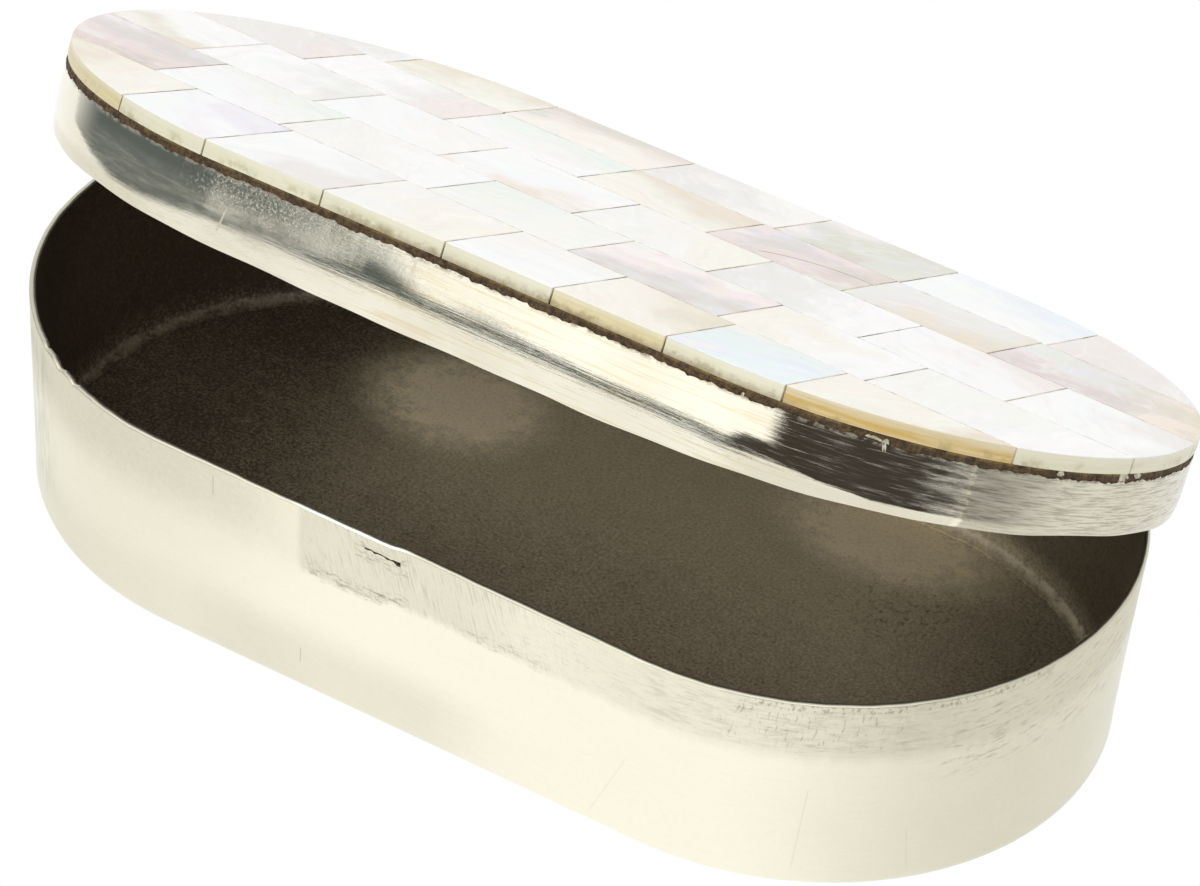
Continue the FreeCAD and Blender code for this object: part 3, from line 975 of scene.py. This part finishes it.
# Each tile: main tone, second tone, the way it comes in (degrees), how much of it, play of colour
tile_figures = {
    1: [(grey, white, 0, 0.3, 0.1), (cream, tan, 120, 0.5, 0.2), (cream, brown, 100, 0.45, 0.4),
        (grey, milk, 30, 0.5, 0.1), (olive, grey, 150, 0.4, 0.5), (white, blue, 60, 0.4, 0.2),
        (grey, rose, 200, 0.4, 0.2)],
    2: [(grey, rose, 30, 0.5, 0.2), (white, rose, 10, 0.45, 0.4), (white, green, 80, 0.5, 0.3),
        (cream, tan, 70, 0.5, 0.3), (mauve, brown, -40, 0.5, 0.8), (grey, tan, -60, 0.4, 0.3),
        (mauve, tan, 20, 0.45, 0.9)],
    3: [(white, tan, -120, 0.3, 0.3), (white, grey, 0, 0.3, 0.1), (white, milk, 40, 0.4, 0.1),
        (white, tan, -80, 0.2, 0.2), (milk, cream, 20, 0.5, 0.1), (grey, white, 10, 0.5, 0.1),
        (white, rose, 60, 0.3, 0.2), (white, grey, 30, 0.3, 0.1)],
    4: [(mauve, brown, -90, 0.5, 0.8), (white, green, 60, 0.4, 0.3), (milk, white, 20, 0.5, 0.1),
        (milk, green, 120, 0.4, 0.2), (mauve, rose, 100, 0.55, 0.8), (cream, white, 0, 0.5, 0.1),
        (milk, white, 0, 0.5, 0.1)],
    5: [(cream, tan, 180, 0.45, 0.2), (white, lilac, 40, 0.4, 0.2), (white, grey, -30, 0.4, 0.1),
        (milk, cream, 0, 0.5, 0.1), (white, milk, 90, 0.4, 0.1), (cream, tan, 30, 0.45, 0.3),
        (blue, green, 110, 0.45, 0.8), (cream, tan, -30, 0.3, 0.1)],
}
front_edges = [straw, ivory, ivory, ivory, ivory, straw, ivory, amber]


def pearl_finish():
    """Two tones that run into each other across the tile, growth lines, and a play of pale pink,
    green and lilac. Below the top it shows the layers of the sawn edge."""
    material, place = new_finish("mother_of_pearl")
    lid = swung_shut(place)
    tone, play = place.attribute("tone", "Color"), place.attribute("tone", "Alpha")
    second, share = place.attribute("second", "Color"), place.attribute("second", "Alpha")
    middle = place.attribute("middle", "Vector")
    way = place.attribute("way", "Fac")
    lid_x, lid_y, height = [lid.part(axis) for axis in "XYZ"]
    x = lid_x - middle.part("X")
    y = lid_y - middle.part("Y")
    seed = middle.part("Z")
    forward = x * way.calc("COSINE") + y * way.calc("SINE")
    sideways = y * way.calc("COSINE") - x * way.calc("SINE")
    warp = place.vector(x * 0.16, y * 0.16, seed).noise(1.0, 3.0, 0.55)
    waves = place.vector(forward * 0.9 + warp * 5.0, sideways * 0.12, seed).noise(1.0, 4.0, 0.6)
    into = forward * 0.15 + 3.2 * (warp - 0.5) + 2.6 * (share - 0.5) + 0.5 * (waves - 0.5)
    face = into.step(-0.6, 0.7).mix(tone, second)
    hue = forward * 0.05 + warp * 2.6 + waves * 0.5 + seed * 0.37
    rainbow = [(0.0, tint(246, 222, 232)), (0.3, tint(248, 246, 242)), (0.5, tint(224, 242, 230)),
               (0.7, tint(232, 226, 248)), (0.85, tint(248, 238, 222)), (1.0, tint(246, 222, 232))]
    colours = hue.node("ValToRGB", {"Fac": hue.calc("FRACT")}, stops=rainbow)
    face = (0.10 + 0.5 * play * warp.step(0.35, 0.6)).mix(face, colours)

    # A curved crack in one tile of the second course, stained brown
    crack = (lid.away(16.5, 2.2, pearl_top) - 9.87).size().step(0.16, 0.04)
    crack = crack * lid_x.between(8.8, 17.3, 0.6) * lid_y.between(8.0, 12.0, 0.5)
    face = layered(
        face,
        (0.22 * waves.step(0.5, 0.75), (255, 255, 255)),
        (0.10 * waves.step(0.48, 0.3), (186, 174, 164)),
        (0.8 * crack, (112, 92, 70)),
    )

    # The sawn edge: layers, paler towards the top, with olive stains, and cement smeared up its foot
    # along the middle of the front
    layers = lid.times(0.12, 0.12, 3.2).noise(1.0, 4.0, 0.65)
    stain = lid.noise(0.45, 4.0, 0.65).step(0.5, 0.68) * height.step(pearl_top - 0.3, pearl_z + 0.2)
    creep = 0.2 + 0.3 * lid.noise(0.9, 5.0, 0.75).step(0.3, 0.7)
    smeared = (height - pearl_z - creep).step(0.4, -0.4) * lid_y.step(-12.0, -20.0)
    smeared = smeared * lid_x.between(-10.0, 27.0, 5.0)
    side = layered(
        place.attribute("edge", "Color"),
        (0.3 * layers.step(0.4, 0.65), (232, 229, 212)),
        (0.5 * height.step(pearl_top - 0.75, pearl_top - 0.1), (226, 222, 204)),
        (0.55 * stain, (150, 138, 88)),
        (0.6 * smeared, (126, 104, 72)),
    )

    top = height.step(pearl_top - 0.1, pearl_top - 0.04)
    colour = top.mix(side, face)
    end_finish(place, colour, roughness=0.34 - 0.16 * top, normal=waves.bump(0.08, 0.03), specular=0.4)
    return material


mother_of_pearl = pearl_finish()
draw = np.random.default_rng(5)
for row, figures in tile_figures.items():
    for number, (tone, second, way, share, play) in enumerate(figures, 1):
        node = f"pearl_tile_row{row}_{number}"
        name = f"pearl_row{row}_{number}"
        tile = filed_copy(node, name, mother_of_pearl, tile_edge)
        middle = turned(*sum(tile_box(node)) / 2, course_turn)
        edge = front_edges[number - 1] if row == 5 else ivory
        values = {
            "tone": ("FLOAT_COLOR", "color", (*tone[:3], play)),
            "second": ("FLOAT_COLOR", "color", (*second[:3], share)),
            "edge": ("FLOAT_COLOR", "color", edge),
            "middle": ("FLOAT_VECTOR", "vector", (*middle, draw.uniform(0, 50))),
            "way": ("FLOAT", "value", (math.radians(way),)),
        }
        for key, (kind, field, value) in values.items():
            attribute = tile.data.attributes.new(key, kind, "POINT")
            attribute.data.foreach_set(field, np.tile(value, len(tile.data.vertices)))

# Table: a sheet of white paper lit from below, so that nothing on it casts a shadow, and the
# studio round it: a white dome, a dark room in front and at the left, and a window in the room.
paper_corners = [(-150, 320), (-150, -60), (-340, -660), (400, -660), (170, -60), (170, 320)]
paper_depth = 0.05
pure_white = (1.0, 1.0, 1.0, 1.0)
slate_room = (0.115, 0.135, 0.138, 1.0)
brown_room = (0.056, 0.049, 0.043, 1.0)
front_light = 1.1
window_light = 1.2

white_paper, place = new_finish("white_paper")
light = place.node("Emission", {"Color": pure_white, "Strength": 1.0})
place.node("OutputMaterial", {"Surface": light})
paper_edge = np.array([(x, y, -paper_depth) for x, y in paper_corners])
paper = add_piece("paper", paper_edge, np.arange(len(paper_edge))[None, :], white_paper)

world = bpy.data.worlds.new("studio")
scene.world = world
world.use_nodes = True
world.node_tree.nodes.clear()
sky = Shade(world.node_tree)
direction = sky.node("TexCoord", output="Generated")
# Directions from the box: degrees from its front towards its right end, and degrees up
turn = direction.part("X").calc("ARCTAN2", -direction.part("Y")) * (180 / math.pi)
rise = direction.part("Z").calc("ARCSINE") * (180 / math.pi)
room = turn.step(-114.0, -80.0) * turn.step(100.0, 84.0) * rise.step(19.0, 13.0)
window = (turn + 0.16 * rise).step(-25.35, -24.95) * (turn - 1.5 * rise).step(-11.6, -13.0)
window = window * rise.step(-1.2, -0.2) * room
hidden = 1.0 - sky.node("LightPath", output="Is Camera Ray")
room_colour = turn.step(-26.0, -2.0).mix(slate_room, brown_room)
colour = (hidden * room * (1.0 - window)).mix(pure_white, room_colour)
front = turn.between(-60.0, 60.0, 20.0) * rise.between(24.0, 56.0, 6.0)
extra = front_light * front + (window_light - 1.0) * window
light = sky.node("Background", {"Color": colour, "Strength": 1.0 + hidden * extra})
sky.node("OutputWorld", {"Surface": light})
scene.view_settings.view_transform = "Standard"

# Camera: the photo's view, a long lens from the front right and above, held a little askew. Its
# angles, distance and lens were fitted to the outlines in the photo.
camera_turn, camera_rise, camera_roll = np.radians([29.392, 36.841, 4.997])
camera_distance = 486.53
camera_aim = np.array([2.045, 0.354, 15.0])
camera_lens = 175.79
photo_sensor = 36.0

camera = bpy.data.objects.new("camera", bpy.data.cameras.new("camera"))
scene.collection.objects.link(camera)
camera.data.lens = camera_lens
camera.data.sensor_width = photo_sensor
camera.data.clip_start = 0.01
to_right, to_front, to_top = np.diag([1.0, -1.0, 1.0])
level, outward = turned(to_right, to_front, camera_turn)
back, upright = turned(outward, to_top, -camera_rise)
right, upward = turned(level, upright, -camera_roll)
pose = np.eye(4)
pose[:3] = np.stack([right, upward, back, (camera_aim + camera_distance * back) * mm], axis=1)
camera.matrix_world = pose.T.tolist()
scene.camera = camera
